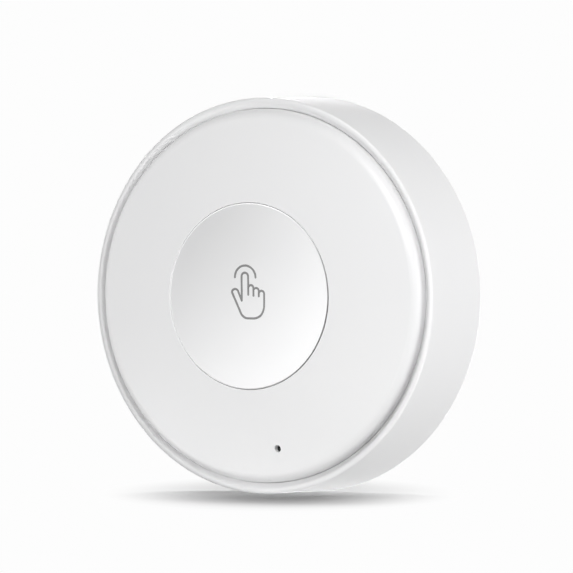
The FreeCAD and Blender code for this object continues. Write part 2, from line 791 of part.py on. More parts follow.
os.makedirs("parts", exist_ok=True)
for name, make in makers.items():
    shape = make()
    shape.exportStep(os.path.join("parts", name + ".step"))
    print(name, "solids", len(shape.Solids), "valid", shape.isValid(), "volume", round(shape.Volume, 2))
print("case depth", round(crown - shell_back, 3), "whole depth", round(crown, 3))
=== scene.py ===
import bpy
import math
import numpy as np
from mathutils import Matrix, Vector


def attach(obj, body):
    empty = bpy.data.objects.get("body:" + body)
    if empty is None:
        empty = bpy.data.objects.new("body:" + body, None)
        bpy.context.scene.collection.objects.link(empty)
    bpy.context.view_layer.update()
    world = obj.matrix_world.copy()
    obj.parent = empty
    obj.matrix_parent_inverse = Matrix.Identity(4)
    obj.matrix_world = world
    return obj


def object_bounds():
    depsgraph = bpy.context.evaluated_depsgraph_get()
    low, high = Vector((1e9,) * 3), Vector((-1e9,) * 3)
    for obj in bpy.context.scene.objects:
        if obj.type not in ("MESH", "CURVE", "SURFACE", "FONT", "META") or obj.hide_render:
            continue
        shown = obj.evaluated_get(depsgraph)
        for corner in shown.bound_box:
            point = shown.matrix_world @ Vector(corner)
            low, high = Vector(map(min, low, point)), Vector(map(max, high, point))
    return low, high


# Round wireless scene switch of white ABS, standing on its edge on a pale floor.
# The front faces -Y and +Z is up. Lengths in the dictionaries are millimetres, apart from a shader's own
# sockets and where a note says metres.

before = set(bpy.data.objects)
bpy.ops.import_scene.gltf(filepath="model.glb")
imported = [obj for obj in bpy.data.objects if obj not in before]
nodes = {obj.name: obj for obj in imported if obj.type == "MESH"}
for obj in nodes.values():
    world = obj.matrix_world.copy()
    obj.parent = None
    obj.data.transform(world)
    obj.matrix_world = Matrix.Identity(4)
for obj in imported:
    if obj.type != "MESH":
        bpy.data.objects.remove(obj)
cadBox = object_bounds()
mm = 0.001


def toLinear(hexColour):
    # sRGB hex to linear light, as the shader sockets want it
    channels = np.array([int(hexColour[i:i + 2], 16) for i in (1, 3, 5)]) / 255
    linear = np.where(channels <= 0.04045, channels / 12.92, ((channels + 0.055) / 1.055) ** 2.4)
    return (*linear.tolist(), 1.0)


def addNode(tree, kind, inputs=None, **settings):
    # one node with its settings; an input that is a socket becomes a link
    node = tree.nodes.new(kind)
    for name, value in settings.items():
        setattr(node, name, value)
    for name, value in (inputs or {}).items():
        if isinstance(value, bpy.types.NodeSocket):
            tree.links.new(value, node.inputs[name])
        else:
            node.inputs[name].default_value = value
    return node


def newMaterial(name):
    material = bpy.data.materials.new(name)
    material.use_nodes = True
    material.node_tree.nodes.clear()
    return material


def dress(nodeName, material):
    # a CAD node keeps its mesh and takes this finish in all its slots
    mesh = nodes[nodeName].data
    mesh.materials.clear()
    mesh.materials.append(material)


# Finishes. Every pattern is noise or cells on Object coordinates, its size given in millimetres.
noiseRange = (0.3, 0.7)             # where nearly all of a noise texture's values lie


def patternNode(tree, size, detail=2.0, roughness=0.55, stretch=None):
    # noise whose features are about this many millimetres across; a stretch draws it out along an axis
    place = addNode(tree, "ShaderNodeTexCoord").outputs["Object"]
    if stretch:
        place = addNode(tree, "ShaderNodeMapping", {"Vector": place, "Scale": stretch}).outputs["Vector"]
    noise = addNode(tree, "ShaderNodeTexNoise", {"Vector": place, "Scale": 1 / (size * mm),
                                                 "Detail": detail, "Roughness": roughness})
    return noise.outputs["Fac"]


def spread(tree, fac, middle, reach):
    # the pattern's usual range, turned into middle - reach to middle + reach
    mapped = addNode(tree, "ShaderNodeMapRange", {
        "Value": fac, "From Min": noiseRange[0], "From Max": noiseRange[1],
        "To Min": middle - reach, "To Max": middle + reach})
    return mapped.outputs["Result"]


def evenNormal(tree, ball):
    # Near the dish's middle, where the mesh has one uneven point, the shading takes the ball's own
    # direction n = (c - p) / |c - p|, with c the ball's centre. Near is inside a flat ellipsoid.
    place = addNode(tree, "ShaderNodeTexCoord").outputs["Object"]
    aside = addNode(tree, "ShaderNodeVectorMath", {0: place, 1: (0.0, ball["deepest"] * mm, 0.0)},
                    operation="SUBTRACT")
    swell = (1.0, ball["evened"] / ball["evenedDepth"], 1.0)
    flat = addNode(tree, "ShaderNodeVectorMath", {0: aside.outputs["Vector"], 1: swell},
                   operation="MULTIPLY")
    away = addNode(tree, "ShaderNodeVectorMath", {0: flat.outputs["Vector"]}, operation="LENGTH")
    near = addNode(tree, "ShaderNodeMath", {0: away.outputs["Value"], 1: ball["evened"] * mm},
                   operation="LESS_THAN")
    centre = (0.0, (ball["deepest"] - ball["radius"]) * mm, 0.0)
    inward = addNode(tree, "ShaderNodeVectorMath", {0: centre, 1: place}, operation="SUBTRACT")
    turned = addNode(tree, "ShaderNodeVectorTransform", {"Vector": inward.outputs["Vector"]},
                     vector_type="NORMAL", convert_from="OBJECT", convert_to="WORLD")
    given = addNode(tree, "ShaderNodeNewGeometry").outputs["Normal"]
    chosen = addNode(tree, "ShaderNodeMix", {"Factor": near.outputs[0], "A": given,
                                             "B": turned.outputs["Vector"]}, data_type="VECTOR")
    return chosen.outputs["Result"]


def surface(tree, colour, dull, bump, extra):
    # the shader and its output; extra holds a look's further sockets, such as its IOR
    shader = addNode(tree, "ShaderNodeBsdfPrincipled", {
        "Base Color": colour.outputs["Result"], "Roughness": dull, "Normal": bump.outputs["Normal"], **extra})
    addNode(tree, "ShaderNodeOutputMaterial", {"Surface": shader.outputs["BSDF"]})


def finish(name, look):
    # The common finish: a colour that drifts between two shades, a cloudy roughness and a fine bump.
    material = newMaterial(name)
    tree = material.node_tree
    drift = patternNode(tree, look["driftSize"])
    colour = addNode(tree, "ShaderNodeMix", {"Factor": drift, "A": toLinear(look["colour"]),
                                             "B": toLinear(look["colourDrift"])}, data_type="RGBA")
    clouds = patternNode(tree, look["cloudSize"], detail=3.0)
    dull = spread(tree, clouds, look["roughness"], look["roughnessSpread"])
    grain = patternNode(tree, look["grainSize"], roughness=0.6, stretch=look.get("stretch"))
    bump = addNode(tree, "ShaderNodeBump", {"Strength": 1.0, "Distance": look["grainHeight"] * mm,
                                            "Height": grain})
    if "ball" in look:
        tree.links.new(evenNormal(tree, look["ball"]), bump.inputs["Normal"])
    surface(tree, colour, dull, bump, look["shader"])
    return material


# White ABS: bright and satin. The mould's spark-eroded grain is 0.05 mm across in life and is drawn
# at 0.45 mm, the finest that a pixel holds.
shellLook = {"colour": "#e9e9e9", "colourDrift": "#e6e6e7", "driftSize": 18.0, "cloudSize": 5.0,
             "grainSize": 0.45, "grainHeight": 0.003, "roughness": 0.4, "roughnessSpread": 0.03,
             "shader": {"IOR": 1.53}}
dress("outer_shell", finish("white_abs_case", shellLook))
dress("front_cover", finish("white_abs_plate", dict(shellLook, roughness=0.38)))

# The button is polished a little by fingers, so it is smoother and its grain is shallower.
# The dish in its front is part of a ball. Its shading is evened this far and deep round its middle.
dish = {"radius": 67.89, "deepest": -14.9, "evened": 3.0, "evenedDepth": 0.75}
buttonLook = dict(shellLook, roughness=0.34, grainHeight=0.0015, ball=dish)
dress("button_cap", finish("white_abs_button", buttonLook))

# The rear cover is left coarse from the mould: duller, and a shade greyer.
rearLook = dict(shellLook, colour="#e4e4e4", colourDrift="#dfe0e0", grainSize=0.6, grainHeight=0.008,
                roughness=0.52)
dress("rear_cover", finish("white_abs_rear", rearLook))

# Closed-cell PE foam: matt grey, with pinhead cells 0.5 mm across where the sheet is split.
foamLook = {"colour": "#b9bbbb", "colourDrift": "#aeb0b1", "driftSize": 6.0, "cloudSize": 1.2,
            "grainSize": 0.5, "grainHeight": 0.06, "roughness": 0.85, "roughnessSpread": 0.06,
            "shader": {"IOR": 1.45}}
dress("adhesive_pad", finish("pe_foam", foamLook))

# Polycarbonate for the light pipe, tinted near black as painted shade: the dark pipe stands in for the shade
# inside the pinhole.
holeShadePipeLook = {"colour": "#18191a", "colourDrift": "#131415", "driftSize": 4.0, "cloudSize": 1.0,
            "grainSize": 0.4, "grainHeight": 0.001, "roughness": 0.08, "roughnessSpread": 0.03,
            "shader": {"IOR": 1.585, "Transmission Weight": 1.0}}
dress("light_pipe", finish("polycarbonate_painted_hole_shade", holeShadePipeLook))

# Milky epoxy over the indicator's die, unlit.
ledLook = {"colour": "#efeadb", "colourDrift": "#e6dfcb", "driftSize": 0.8, "cloudSize": 0.5,
           "grainSize": 0.2, "grainHeight": 0.002, "roughness": 0.3, "roughnessSpread": 0.05,
           "shader": {"IOR": 1.5, "Subsurface Weight": 0.2, "Subsurface Scale": 0.0004}}
dress("indicator_led", finish("milky_epoxy", ledLook))
print("case, button and indicator finished")


waveBands = 3.18                    # bands to the unit in a wave texture of scale 1, near 20 / (2 pi)


def laminate(name, look):
    # Solder mask over glass cloth. The weave, two sine waves at right angles, lifts the lacquer a
    # little, and copper under it shows as a darker pattern of soft cells.
    material = newMaterial(name)
    tree = material.node_tree
    place = addNode(tree, "ShaderNodeTexCoord").outputs["Object"]
    weave = [addNode(tree, "ShaderNodeTexWave", {
        "Vector": place, "Scale": 1 / (look["weave"] * mm) / waveBands,
        "Distortion": look["weaveWander"], "Detail": 1.0},
        wave_type="BANDS", bands_direction=axis).outputs["Fac"] for axis in ("X", "Z")]
    cloth = addNode(tree, "ShaderNodeMath", {0: weave[0], 1: weave[1]}, operation="ADD")
    cells = addNode(tree, "ShaderNodeTexVoronoi", {"Vector": place, "Scale": 1 / (look["copper"] * mm)},
                    feature="F1", distance="CHEBYCHEV")
    inner, outer = look["copperEdge"]
    under = addNode(tree, "ShaderNodeMapRange", {"Value": cells.outputs["Distance"],
                                                 "From Min": inner, "From Max": outer})
    colour = addNode(tree, "ShaderNodeMix", {"Factor": under.outputs["Result"], "A": toLinear(look["mask"]),
                                             "B": toLinear(look["maskDeep"])}, data_type="RGBA")
    dull = spread(tree, patternNode(tree, look["cloudSize"]), look["roughness"], look["roughnessSpread"])
    bump = addNode(tree, "ShaderNodeBump", {"Strength": 1.0, "Distance": look["relief"] * mm,
                                            "Height": cloth.outputs[0]})
    surface(tree, colour, dull, bump, look["shader"])
    return material


# Green solder mask on the main board, and black on the radio module. The weave's threads are 0.6 mm
# apart and the copper's cells 2.2 mm across.
boardLook = {"mask": "#1d6b3c", "maskDeep": "#185a33", "weave": 0.6, "weaveWander": 0.6, "copper": 2.2,
             "copperEdge": (0.35, 0.42), "relief": 0.006, "cloudSize": 2.0, "roughness": 0.38,
             "roughnessSpread": 0.05, "shader": {"IOR": 1.55, "Coat Weight": 0.3, "Coat Roughness": 0.15}}
dress("circuit_board", laminate("green_solder_mask", boardLook))
dress("radio_board", laminate("black_solder_mask", dict(boardLook, mask="#20262b", maskDeep="#191e22")))

# Glass-filled nylon of the push switch: black, with streaks of flow.
nylonLook = {"colour": "#26272a", "colourDrift": "#2f3033", "driftSize": 2.0, "cloudSize": 0.8,
             "grainSize": 0.3, "grainHeight": 0.004, "roughness": 0.55, "roughnessSpread": 0.07,
             "stretch": (1.0, 1.0, 0.3), "shader": {"IOR": 1.53}}
dress("switch_base", finish("glass_filled_nylon", nylonLook))
dress("switch_plunger", finish("red_acetal", dict(nylonLook, colour="#7d2b25", colourDrift="#86332c",
                                                  roughness=0.35, grainHeight=0.001)))
dress("cell_gasket", finish("dark_nylon", dict(nylonLook, colour="#3a3d3f", colourDrift="#333638")))

# White tray: polypropylene, waxier and bluer than the case.
trayLook = dict(shellLook, colour="#dfe3e6", colourDrift="#d8dde1", roughness=0.46, grainHeight=0.006)
dress("battery_tray", finish("white_polypropylene", trayLook))

# Fired ceramic, black resistor glaze and yellow tantalum epoxy.
ceramicLook = {"colour": "#b08d68", "colourDrift": "#a58260", "driftSize": 0.7, "cloudSize": 0.4,
               "grainSize": 0.15, "grainHeight": 0.003, "roughness": 0.5, "roughnessSpread": 0.08,
               "shader": {"IOR": 1.6}}
dress("chip_capacitors", finish("tan_ceramic", ceramicLook))
dress("chip_resistors", finish("black_glaze", dict(ceramicLook, colour="#1c1c1e", colourDrift="#25262a",
                                                   roughness=0.3)))
dress("bulk_capacitor", finish("yellow_epoxy", dict(ceramicLook, colour="#c9a03a", colourDrift="#bd9432",
                                                    roughness=0.42)))


# Metals. They keep the default IOR. The bump is the rolling or drawing scratches, 0.02 mm apart in
# life and drawn at 0.15 mm, long along one axis; the roughness clouds over like handled metal.
def metal(name, look):
    return finish(name, dict({"driftSize": 3.0, "cloudSize": 1.5, "grainSize": 0.15, "grainHeight": 0.0015,
                              "roughnessSpread": 0.06}, **look, shader={"Metallic": 1.0}))


# Stainless steel of the cell: grey, brushed by tumbling.
cellLook = {"colour": "#c4c3bf", "colourDrift": "#b8b8b6", "roughness": 0.3}
dress("cell_can", metal("stainless_can", cellLook))
dress("cell_cap", metal("stainless_cap", dict(cellLook, roughness=0.34)))

# Tinned steel of shield and switch frame: bright, with a matt bloom.
tinLook = {"colour": "#cfcfcd", "colourDrift": "#c2c4c5", "roughness": 0.27, "stretch": (1.0, 1.0, 0.08)}
dress("radio_shield", metal("tinned_shield", tinLook))
dress("switch_frame", metal("tinned_frame", dict(tinLook, roughness=0.32)))
dress("switch_terminals", metal("tinned_legs", dict(tinLook, roughness=0.4)))

# Nickel-plated spring steel, a touch warm, drawn lengthways.
springLook = {"colour": "#cdc6b8", "colourDrift": "#c2bcb0", "roughness": 0.24, "stretch": (0.08, 1.0, 1.0)}
dress("positive_clip", metal("nickel_clip", springLook))
dress("negative_spring", metal("nickel_leaf", springLook))
dress("switch_snap_dome", metal("stainless_dome", dict(springLook, colour="#c9c8c5", colourDrift="#bfbfbe")))

# Copper of the aerial under clear lacquer, and zinc-plated screws.
dress("radio_antenna", metal("lacquered_copper", {"colour": "#c77f52", "colourDrift": "#b87349",
                                                  "roughness": 0.3}))
dress("tray_screws", metal("zinc_screw", {"colour": "#a9abad", "colourDrift": "#999da2", "roughness": 0.38}))
print("inner parts finished")


# New pieces
def newPiece(name, points, faces, material, body):
    # the points are millimetres; the piece stays at the origin, unturned, and rides its body
    mesh = bpy.data.meshes.new(name)
    mesh.from_pydata((points * mm).tolist(), [], faces)
    mesh.polygons.foreach_set("use_smooth", np.ones(len(mesh.polygons), dtype=bool))
    mesh.materials.append(material)
    piece = bpy.data.objects.new(name, mesh)
    bpy.context.scene.collection.objects.link(piece)
    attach(piece, body)
    return piece


# Printed sign: a hand whose finger taps, under an arc. Each line goes through corners that are
# given as (across, up, rounding), the rounding being how far from the corner the curve starts.
# The screen ink is a flat mid grey, matt, its film a little uneven.
iconLook = {
    "ink": {"colour": "#7c7c7c", "colourDrift": "#818181", "driftSize": 0.8, "cloudSize": 0.6,
            "grainSize": 0.3, "grainHeight": 0.001, "roughness": 0.6, "roughnessSpread": 0.05,
            "shader": {"IOR": 1.5}},
    "lineWidth": 0.3,
    "inkThickness": 0.012,
    "inkSunk": 0.02,                # below the button's face, so that no edge floats
    "size": (1.01, 0.99),           # of the whole sign, across and up
    "move": (0.088, 0.077),
    "step": 0.04,                   # from point to point along a line
    "endRings": 6,                  # that round each end off
    "around": 12,                   # points round the line
    "lines": {
        "arc": ((-2.70, 2.30, 0.0), (-2.70, 3.80, 1.5), (0.30, 3.80, 1.5), (0.30, 2.30, 0.0)),
        "index": ((-1.74, -0.66, 0.0), (-1.74, 2.89, 0.476), (-0.788, 2.89, 0.476), (-0.788, 0.10, 0.0)),
        "middle": ((-0.788, 0.90, 0.0), (-0.788, 1.31, 0.382), (-0.024, 1.31, 0.382), (-0.024, -0.01, 0.0)),
        "ring": ((-0.024, 0.55, 0.0), (-0.024, 0.95, 0.39), (0.763, 0.95, 0.39), (0.763, -0.09, 0.0)),
        "palm": ((0.763, 0.20, 0.0), (0.763, 0.61, 0.4), (1.566, 0.61, 0.4), (1.566, -2.10, 0.75),
                 (0.65, -2.92, 0.6), (-1.52, -2.92, 0.7), (-3.26, 0.60, 0.36), (-2.44, 0.93, 0.44),
                 (-1.74, -0.66, 0.0)),
    },
}


quarterGrip = 0.5523                # a cubic's handles for a quarter circle, as a share of its radius
quarterLength = 1.6                 # about how long that quarter is, as a share of its radius
samePoint = 0.02                    # points closer than this share of a step are one


def roundedLine(corners, step):
    # Straight runs joined by cubic curves that leave each corner's rounding distance r before it and
    # end it after: B(t) with handles quarterGrip r long, so a right angle gives a quarter circle.
    corners = np.array(corners)
    points, trims = corners[:, :2], corners[:, 2]
    pieces = []
    for i in range(len(points) - 1):
        run = points[i + 1] - points[i]
        along = run / np.linalg.norm(run)
        begin, end = points[i] + along * trims[i], points[i + 1] - along * trims[i + 1]
        count = max(2, int(np.linalg.norm(end - begin) / step))
        pieces.append(begin + (end - begin) * np.linspace(0, 1, count)[:, None])
        if i + 2 < len(points):
            turn = points[i + 2] - points[i + 1]
            after = points[i + 1] + turn / np.linalg.norm(turn) * trims[i + 1]
            count = max(4, int(quarterLength * trims[i + 1] / step))
            t = np.linspace(0, 1, count)[1:-1, None]
            grip = [spot + (points[i + 1] - spot) * quarterGrip for spot in (end, after)]
            pieces.append((1 - t) ** 3 * end + 3 * (1 - t) ** 2 * t * grip[0] + 3 * (1 - t) * t ** 2 * grip[1]
                          + t ** 3 * after)
    line = np.concatenate(pieces)
    apart = np.linalg.norm(np.diff(line, axis=0), axis=1) > step * samePoint
    return line[np.concatenate([[True], apart])]


def inkedLine(corners, look):
    # A flat ellipse swept along the line: sideways w/2 cos(a) e, and off the face h sin(a) e, where
    # e = sqrt(1 - (1 - s / (w/2))^2) within w/2 of an end rounds the end off, and is 1 elsewhere.
    line = roundedLine(corners, look["step"])
    rings, half = look["endRings"], look["lineWidth"] / 2
    heading = np.gradient(line, axis=0)
    heading /= np.linalg.norm(heading, axis=1)[:, None]
    caps = 1 - np.cos(np.linspace(0, math.pi / 2, rings + 1))
    line = np.concatenate([line[0] - heading[0] * half * (1 - caps[:-1, None]), line,
                           line[-1] + heading[-1] * half * (1 - caps[-2::-1, None])])
    heading = np.concatenate([np.repeat(heading[:1], rings, 0), heading, np.repeat(heading[-1:], rings, 0)])
    ease = np.ones(len(line))
    ease[:rings] = np.sqrt(1 - (1 - caps[:-1]) ** 2)
    ease[-rings:] = ease[rings - 1::-1]
    turn = np.linspace(0, 2 * math.pi, look["around"], endpoint=False)
    aside = np.stack([-heading[:, 1], heading[:, 0]], axis=1)
    flat = line[:, None, :] + aside[:, None, :] * (half * ease[:, None] * np.cos(turn))[:, :, None]
    lift = np.where(np.sin(turn) > 0, look["inkThickness"], look["inkSunk"]) * np.sin(turn) * ease[:, None]
    return flat, lift


def ringFaces(rings, around, first):
    # quads between rings of points, with a fan of one polygon at each end
    index = first + np.arange(rings * around).reshape(rings, around)
    nextOne = np.roll(index, -1, axis=1)
    quads = np.stack([index[:-1], nextOne[:-1], nextOne[1:], index[1:]], axis=-1).reshape(-1, 4).tolist()
    return quads + [index[0, ::-1].tolist(), index[-1].tolist()]


def makeIcon():
    # Laid on the dish's ball: y = deepest - radius + sqrt(radius^2 - x^2 - z^2), less the lift.
    look = iconLook
    points, faces = [], []
    for corners in look["lines"].values():
        flat, lift = inkedLine(corners, look)
        rings, around = lift.shape
        x, z = (flat[..., i] * look["size"][i] + look["move"][i] for i in (0, 1))
        face = dish["deepest"] - dish["radius"] + np.sqrt(dish["radius"] ** 2 - x ** 2 - z ** 2)
        faces += ringFaces(rings, around, sum(map(len, points)))
        points.append(np.stack([x, face - lift, z], axis=-1).reshape(-1, 3))
    ink = finish("grey_screen_ink", look["ink"])
    return newPiece("finger_icon", np.concatenate(points), faces, ink, "button")


icon = makeIcon()
print("sign printed: %d points" % len(icon.data.vertices))

# Twist marks at the back: a bar on the case's edge that meets a bar on the cover when locked, and a
# dot on the cover when open. Angles go counter-clockwise from +X as seen from the front.
markLook = {"lockedAngle": 90.0, "openAngle": 108.0, "width": 0.7, "height": 0.12, "soften": 0.12,
            "coverFrom": 20.4, "coverTo": 22.6, "coverFace": -0.8, "dotRadius": 0.55,
            "caseFrom": 23.45, "caseTo": 24.45, "caseFace": -0.5, "rings": 6, "around": 32}


def pillow(outline, base, look):
    # A low raised form. Rings of the outline shrink towards its middle as a quarter circle rises:
    # inset = soften (1 - cos a), lift = height sin a, after a first ring sunk under the face.
    middle = outline.mean(axis=0)
    reach = np.linalg.norm(outline - middle, axis=1)
    a = np.linspace(0, math.pi / 2, look["rings"])
    inset = np.concatenate([[0.0], look["soften"] * (1 - np.cos(a))])
    lift = np.concatenate([[-look["height"]], look["height"] * np.sin(a)])
    flat = middle + (outline - middle)[None] * ((reach[None] - inset[:, None]) / reach[None])[:, :, None]
    return np.stack([flat[..., 0], np.broadcast_to((base + lift)[:, None], flat.shape[:2]), flat[..., 1]],
                    axis=-1)


def markOutline(inner, outer, width, angle):
    # a bar with half circles for ends, from one radius to another and turned about Y; a bar as long
    # as it is wide is a dot
    turn = np.linspace(-math.pi / 2, 3 * math.pi / 2, markLook["around"], endpoint=False)
    along = np.where(np.cos(turn) > 0, outer - width / 2, inner + width / 2) + width / 2 * np.cos(turn)
    across = width / 2 * np.sin(turn)
    a = math.radians(angle)
    return np.stack([along * math.cos(a) - across * math.sin(a), along * math.sin(a) + across * math.cos(a)],
                    axis=1)


def makeMarks():
    # each mark is a pillow's rings joined by faces, in the material of the piece that it stands on
    look = markLook
    locked = markOutline(look["coverFrom"], look["coverTo"], look["width"], look["lockedAngle"])
    middle = (look["coverFrom"] + look["coverTo"]) / 2
    opened = markOutline(middle - look["dotRadius"], middle + look["dotRadius"], 2 * look["dotRadius"],
                         look["openAngle"])
    onCase = markOutline(look["caseFrom"], look["caseTo"], look["width"], look["lockedAngle"])
    for name, outlines, face, like, body in (
            ("cover_marks", (locked, opened), look["coverFace"], "rear_cover", "wall_base"),
            ("case_mark", (onCase,), look["caseFace"], "outer_shell", "case")):
        points, faces = [], []
        for outline in outlines:
            grid = pillow(outline, face, look)
            rings, around = grid.shape[:2]
            faces += [quad[::-1] for quad in ringFaces(rings, around, sum(map(len, points)))]
            points.append(grid.reshape(-1, 3))
        newPiece(name, np.concatenate(points), faces, nodes[like].data.materials[0], body)


makeMarks()
print("twist marks made")


# Tinned ends of the chips: sleeves a hair larger than the chips' own boxes, over the last part of
# their length. The chips stand in rows along X and are long along Z; the bulk one is long along X.
# Points of a row that lie farther apart than the gap belong to different chips.
endLook = {"share": 0.22, "skin": 0.02, "gap": 1.3,
           "metal": {"colour": "#c9cacb", "colourDrift": "#bcbec0", "roughness": 0.42}}
alongX, alongY, alongZ = 0, 1, 2


def solidIslands(nodeName):
    # lowest and highest corner of each separate solid of a node, found along X from its gaps
    mesh = nodes[nodeName].data
    points = np.empty(len(mesh.vertices) * 3)
    mesh.vertices.foreach_get("co", points)
    points = points.reshape(-1, 3) / mm
    points = points[np.argsort(points[:, alongX])]
    parts = np.split(points, np.where(np.diff(points[:, alongX]) > endLook["gap"])[0] + 1)
    return [(part.min(axis=0), part.max(axis=0)) for part in parts]


def makeChipEnds():
    # each corner of a unit box is scaled and moved: p = low + (high - low) c, with c in {0, 1}
    corner = np.array([[x, y, z] for x in (0, 1) for y in (0, 1) for z in (0, 1)], dtype=float)
    sides = np.array([[0, 1, 3, 2], [4, 6, 7, 5], [0, 4, 5, 1], [2, 3, 7, 6], [0, 2, 6, 4], [1, 5, 7, 3]])
    points, faces = [], []
    longWays = {"chip_capacitors": alongZ, "chip_resistors": alongZ, "bulk_capacitor": alongX}
    for nodeName, axis in longWays.items():
        for low, high in solidIslands(nodeName):
            for end in (0, 1):
                start, stop = low - endLook["skin"], high + endLook["skin"]
                stop[alongY] = high[alongY]         # flush where the chip stands on the board
                span = endLook["share"] * (high[axis] - low[axis])
                if end:
                    start[axis] = high[axis] - span
                else:
                    stop[axis] = low[axis] + span
                faces += (sides + len(corner) * len(points)).tolist()
                points.append(start + (stop - start) * corner)
    tin = metal("tinned_ends", endLook["metal"])
    piece = newPiece("chip_ends", np.concatenate(points), faces, tin, "case")
    piece.data.polygons.foreach_set("use_smooth", np.zeros(len(piece.data.polygons), dtype=bool))


makeChipEnds()
print("chip ends made")

# Nib of the light pipe: a dark pin that fills the pinhole up to a little below the plate's face, painted
# shade for the hole's dark inside.
nibLook = {"circle": 19.5, "angle": -80.2, "radius": 0.44, "back": -12.42, "shoulder": -13.65, "dome": 0.1,
           "domeTurn": 84.0, "domeRings": 8, "around": 48}


def makeNib():
    # A turned pin along -Y: straight to its shoulder, then r = radius cos t, y = shoulder - dome sin t.
    look = nibLook
    t = np.radians(np.linspace(0, look["domeTurn"], look["domeRings"]))
    radius = np.concatenate([[look["radius"]], look["radius"] * np.cos(t)])[:, None]
    depth = np.concatenate([[look["back"]], look["shoulder"] - look["dome"] * np.sin(t)])[:, None]
    turn = np.linspace(0, 2 * math.pi, look["around"], endpoint=False)
    a = math.radians(look["angle"])
    x = look["circle"] * math.cos(a) + radius * np.cos(turn)
    z = look["circle"] * math.sin(a) + radius * np.sin(turn)
    points = np.stack([x, np.broadcast_to(depth, x.shape), z], axis=-1).reshape(-1, 3)
    # the nib takes the pipe's near-black tint, painted shade in the pinhole
    newPiece("pipe_nib_painted_hole_shade", points, ringFaces(*x.shape, 0), nodes["light_pipe"].data.materials[0], "case")


makeNib()
print("light pipe's nib made")

# Stage
# Round the case the floor is matt white card that takes its shadow, in an oval patch. The card is lit
# more dimly than the white beyond it, so the oval's grey is painted shade round the case's foot.
# Farther off it is plain white to the eye, and a dim studio as far as its light on the case goes.
stageLook = {"floorSize": 6000.0, "floorSquares": 8, "floorColour": "#f2f2f2", "farColour": "#4a4a4a",
             "white": 0.982, "shadePatchCentre": (1.3, -10.4), "shadePatchReach": (23.0, 78.0), "shadePatchTurn": 32.0,
             "fadeStart": 0.1}
plainWhite = (1.0, 1.0, 1.0, 1.0)


def seenPlainly(tree):
    # 1 for a ray from the camera, off a mirror or through a clear piece, and 0 for light on matt ones
    ray = addNode(tree, "ShaderNodeLightPath")
    seen = addNode(tree, "ShaderNodeMath", {0: ray.outputs["Is Camera Ray"], 1: ray.outputs["Is Glossy Ray"]},
                   operation="MAXIMUM")
    seen = addNode(tree, "ShaderNodeMath", {0: seen.outputs[0], 1: ray.outputs["Is Transmission Ray"]},
                   operation="MAXIMUM")
    return seen.outputs[0]


def floorMaterial():
    # a matt patch of painted shade that fades out, by how far out on the oval a point lies, 1 at the oval's
    # edge
    material = newMaterial("pale_floor_painted_shade_oval")
    tree = material.node_tree
    place = addNode(tree, "ShaderNodeTexCoord").outputs["Object"]
    middleX, middleY = (value * mm for value in stageLook["shadePatchCentre"])
    reachX, reachY = (value * mm for value in stageLook["shadePatchReach"])
    turned = addNode(tree, "ShaderNodeMapping", {
        "Vector": place, "Location": (middleX, middleY, cadBox[0].z),
        "Rotation": (0.0, 0.0, math.radians(stageLook["shadePatchTurn"])), "Scale": (reachX, reachY, 1.0)},
        vector_type="TEXTURE")
    away = addNode(tree, "ShaderNodeVectorMath", {0: turned.outputs["Vector"]}, operation="LENGTH")
    fade = addNode(tree, "ShaderNodeMapRange", {"Value": away.outputs["Value"],
                                                "From Min": stageLook["fadeStart"]},
                   interpolation_type="SMOOTHSTEP")
    # inside the oval the matt card is lit dimmer than the white glow beyond, so the oval reads as painted
    # shade
    matt = addNode(tree, "ShaderNodeBsdfDiffuse", {"Color": toLinear(stageLook["floorColour"])})
    dim = addNode(tree, "ShaderNodeBsdfDiffuse", {"Color": toLinear(stageLook["farColour"])})
    glow = addNode(tree, "ShaderNodeEmission", {"Color": plainWhite, "Strength": stageLook["white"]})
    far = addNode(tree, "ShaderNodeMixShader", {0: seenPlainly(tree), 1: dim.outputs["BSDF"],
                                                2: glow.outputs["Emission"]})
    mixed = addNode(tree, "ShaderNodeMixShader", {0: fade.outputs["Result"], 1: matt.outputs["BSDF"],
                                                  2: far.outputs["Shader"]})
    addNode(tree, "ShaderNodeOutputMaterial", {"Surface": mixed.outputs["Shader"]})
    return material


def makeFloor():
    # a flat square grid under the case, its height the same everywhere
    reach = stageLook["floorSize"] * mm / 2
    lines = stageLook["floorSquares"] + 1
    steps = np.linspace(-reach, reach, lines)
    x, y = np.meshgrid(steps, steps, indexing="ij")
    points = np.stack([x, y, np.full_like(x, cadBox[0].z)], axis=-1).reshape(-1, 3)
    index = np.arange(lines ** 2).reshape(lines, lines)
    quads = np.stack([index[:-1, :-1], index[1:, :-1], index[1:, 1:], index[:-1, 1:]], axis=-1).reshape(-1, 4)
    mesh = bpy.data.meshes.new("floor")
    mesh.from_pydata(points.tolist(), [], quads.tolist())
    floor = bpy.data.objects.new("floor", mesh)
    bpy.context.scene.collection.objects.link(floor)
    mesh.materials.append(floorMaterial())


def makeWorld():
    # a room that gives no light of its own, and is plain white where it is looked at
    world = bpy.data.worlds.new("room")
    world.use_nodes = True
    tree = world.node_tree
    tree.nodes.clear()
    level = addNode(tree, "ShaderNodeMapRange", {"Value": seenPlainly(tree), "To Max": stageLook["white"]})
    sky = addNode(tree, "ShaderNodeBackground", {"Color": plainWhite, "Strength": level.outputs["Result"]})
    addNode(tree, "ShaderNodeOutputWorld", {"Surface": sky.outputs["Background"]})
    bpy.context.scene.world = world


